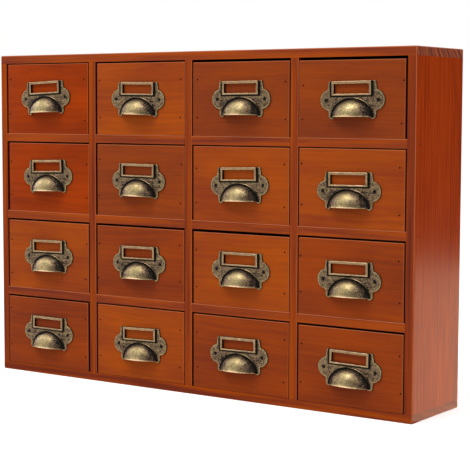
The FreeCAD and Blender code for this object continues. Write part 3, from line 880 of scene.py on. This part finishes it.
class CABINET_OT_pulls(bpy.types.Operator):
    """Makes the sixteen cast pulls with their label frames and cups"""
    bl_idname = "cabinet.pulls"
    bl_label = "Pulls"

    def execute(self, context):
        sizes = PullSizes(context.scene.cabinet_brass)
        parts = [plate_surface(sizes), label_frame_surface(sizes), bead_surface(sizes),
                 groove_surface(sizes), cup_surface(sizes)]
        points, faces, wear_and_painted_light = joined(parts)
        copper = np.repeat([0.0, 1.0, 0.6, 0.0, 0.0], [len(part[0]) for part in parts])
        material = aged_brass("aged_brass")
        for row, column, ending in DRAWERS:
            body = "drawer" + ending
            add_piece("pull" + ending, on_front(points, row, column), faces, material, body,
                      [body + "_hardware"], {"wear_and_painted_light": wear_and_painted_light, "copper": copper})
        return {"FINISHED"}


class CABINET_OT_fixings(bpy.types.Operator):
    """Makes the screws in the pulls' ears and the pins in the drawer fronts"""
    bl_idname = "cabinet.fixings"
    bl_label = "Screws and pins"

    def execute(self, context):
        options = context.scene.cabinet_brass
        iron = dark_iron("fixing_iron", options.pin)
        brass = aged_brass("screw_brass")
        thick = options.plate_thickness / MM
        screw, screw_faces, screw_wear = screw_surface(radius=2.0, dome=0.35, slot_half=0.27,
                                                       slot_deep=0.35)
        head = pin_surface(radius=0.8)
        for row, column, ending in DRAWERS:
            number = column + COLUMNS * row
            body = "drawer" + ending
            heads = []
            for side in (-1, 1):
                slant = 1.3 * math.sin(number * 3 + side)
                heads.append((turned(screw, slant) + [side * SCREW_AT, -thick - 0.02, 0.0],
                              screw_faces, screw_wear))
            points, faces, wear_and_painted_light = joined(heads)
            add_piece("screws" + ending, on_front(points, row, column), faces, brass, body, [],
                      {"wear_and_painted_light": wear_and_painted_light}, weld=0.001)
            pins = [(head[0] + [x, CASE_FACE, z], head[1], head[2]) for x, z in pin_places(body)]
            points, faces, _ = joined(pins)
            add_piece("pins" + ending, points, faces, iron, body, [], weld=0.001)
        return {"FINISHED"}


class CABINET_OT_stage(bpy.types.Operator):
    """Makes the pale floor, the soft lights, the cards and the camera"""
    bl_idname = "cabinet.stage"
    bl_label = "Stage"

    def execute(self, context):
        options = context.scene.cabinet_stage
        scene = context.scene
        self.make_floor(scene, options)
        self.make_sky(scene, options)
        self.make_lamp(scene, "key_light", place=(-0.35, -1.0, 1.75), target=(0.0, 0.0, 0.12),
                       size=1.0, power=options.key_power)
        self.make_lamp(scene, "fill_light", place=(1.7, -0.9, 0.9), target=(0.1, 0.0, 0.15),
                       size=1.2, power=options.fill_power)
        left_light = self.make_lamp(scene, "left_light", place=(-1.3, 0.05, 0.62),
                                    target=(0.0, -0.05, 0.15), size=0.8, power=options.left_power)
        left_light.visible_camera = left_light.visible_diffuse = False
        self.make_low_card(scene, options)
        self.make_black_card(scene)
        self.make_camera(scene)
        scene.view_settings.view_transform = "Standard"
        return {"FINISHED"}

    @staticmethod
    def make_sheet(scene, name, corners, material):
        """A flat sheet through four corners."""
        mesh = bpy.data.meshes.new(name)
        mesh.from_pydata(corners, [], [(0, 1, 2, 3)])
        mesh.materials.append(material)
        sheet = bpy.data.objects.new(name, mesh)
        scene.collection.objects.link(sheet)
        return sheet

    def make_floor(self, scene, options):
        """A wide floor, matt, and lit to white where nothing shades it."""
        material, tree = fresh_material("floor_paper")
        matt = put(tree, "ShaderNodeBsdfDiffuse", {"Color": (*options.floor, 1.0)})
        to_white, reach = 0.62, 12.0
        strength = maths(tree, "MULTIPLY", seen_or_mirrored(tree), to_white)
        glow = put(tree, "ShaderNodeEmission", {"Color": (1, 1, 1, 1), "Strength": strength})
        total = put(tree, "ShaderNodeAddShader", {0: matt.outputs[0], 1: glow.outputs[0]})
        self.make_sheet(scene, "floor", [(-reach, -reach, 0), (reach, -reach, 0), (reach, reach, 0),
                                         (-reach, reach, 0)], shaded(material, tree, total))

    @staticmethod
    def make_sky(scene, options):
        """Even light, and plain white where it is seen or mirrored."""
        world = bpy.data.worlds.new("studio")
        world.use_nodes = True
        tree = world.node_tree
        tree.nodes.clear()
        strength = mapped(tree, seen_or_mirrored(tree), to_low=options.sky)
        light = put(tree, "ShaderNodeBackground", {"Color": (1, 1, 1, 1), "Strength": strength})
        put(tree, "ShaderNodeOutputWorld", {"Surface": light.outputs[0]})
        scene.world = world

    @staticmethod
    def make_light(scene, name, place, rotation, width, depth, power):
        """A soft rectangular light."""
        data = bpy.data.lights.new(name, "AREA")
        data.shape = "RECTANGLE"
        data.size, data.size_y = width, depth
        data.energy = power
        light = bpy.data.objects.new(name, data)
        light.location = place
        light.rotation_euler = rotation
        scene.collection.objects.link(light)
        return light

    def make_lamp(self, scene, name, place, target, size, power):
        """A square soft lamp that looks at a point."""
        rotation = (Vector(target) - Vector(place)).to_track_quat("-Z", "Y").to_euler()
        return self.make_light(scene, name, place, rotation, size, size, power)

    def make_low_card(self, scene, options):
        """A long glowing card flat on the floor behind the right side, which is seen only in
        the lacquer of that side and of the foot board."""
        above_floor, turn = 0.0005, 1.1053
        card = self.make_light(scene, "low_card", (0.478, 0.514, above_floor),
                               (math.pi, 0.0, turn), 1.20, 0.5, options.card_power)
        card.data.color = (1.0, 0.93, 0.68)
        card.visible_camera = card.visible_diffuse = False
        mirrors = bpy.data.collections.new("low_card_mirrors")
        for node in ("right_side_panel", "bottom_panel"):
            mirrors.objects.link(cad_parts[node])
        card.light_linking.receiver_collection = mirrors

    def make_black_card(self, scene):
        """A black card that stands before the cabinet and is seen only in what is glossy."""
        material, tree = fresh_material("black_card")
        black = put(tree, "ShaderNodeBsdfDiffuse", {"Color": (0.02, 0.02, 0.02, 1.0)})
        left, right, height, away = -0.35, 1.6, 1.15, -1.3
        card = self.make_sheet(scene, "black_card", [(left, away, height), (right, away, height),
                                                     (right, away, 0.0), (left, away, 0.0)],
                               shaded(material, tree, black))
        card.visible_camera = card.visible_diffuse = card.visible_shadow = False

    @staticmethod
    def make_camera(scene):
        """The camera to the right of the cabinet, a little below its top and nearly level."""
        data = bpy.data.cameras.new("camera")
        data.sensor_width = 36.0
        data.lens = 111.67
        data.clip_start = 0.01
        place = (0.7497, -1.0559, 0.2476)
        roll, tilt, swing = 0.0028, 0.0854, 0.604
        upright = Matrix(((1, 0, 0), (0, 0, -1), (0, 1, 0)))
        look = (Matrix.Rotation(roll, 3, "Z") @ Matrix.Rotation(tilt, 3, "X")
                @ Matrix.Rotation(swing, 3, "Y") @ upright)
        axes = Matrix((look[0], -look[1], -look[2])).transposed()
        camera = bpy.data.objects.new("camera", data)
        camera.matrix_world = Matrix.Translation(place) @ axes.to_4x4()
        scene.collection.objects.link(camera)
        scene.camera = camera


class CABINET_PT_panel(bpy.types.Panel):
    """The cabinet's pieces, sizes and colours"""
    bl_idname = "CABINET_PT_panel"
    bl_label = "Small-drawer cabinet"
    bl_space_type = "VIEW_3D"
    bl_region_type = "UI"
    bl_category = "Cabinet"

    def draw(self, context):
        for key in GROUPS:
            group = getattr(context.scene, key)
            box = self.layout.box()
            for value in group.bl_rna.properties.keys():
                if value not in ("rna_type", "name"):
                    box.prop(group, value)
        for operator in OPERATORS:
            self.layout.operator(operator.bl_idname)


GROUPS = {"cabinet_wood": CabinetWood, "cabinet_brass": CabinetBrass, "cabinet_stage": CabinetStage}
OPERATORS = (CABINET_OT_case, CABINET_OT_fronts, CABINET_OT_trays, CABINET_OT_pulls,
             CABINET_OT_fixings, CABINET_OT_stage)
CLASSES = (*GROUPS.values(), *OPERATORS, CABINET_PT_panel)


def register():
    """Makes the classes and their values known to Blender."""
    for kind in CLASSES:
        bpy.utils.register_class(kind)
    for key, group in GROUPS.items():
        setattr(bpy.types.Scene, key, PointerProperty(type=group))


def unregister():
    """Takes them away again."""
    for key in GROUPS:
        delattr(bpy.types.Scene, key)
    for kind in reversed(CLASSES):
        bpy.utils.unregister_class(kind)


def main():
    """Builds every piece in order."""
    register()
    bpy.ops.cabinet.case()
    bpy.ops.cabinet.fronts()
    bpy.ops.cabinet.trays()
    bpy.ops.cabinet.pulls()
    bpy.ops.cabinet.fixings()
    bpy.ops.cabinet.stage()


if __name__ == "__main__":
    main()
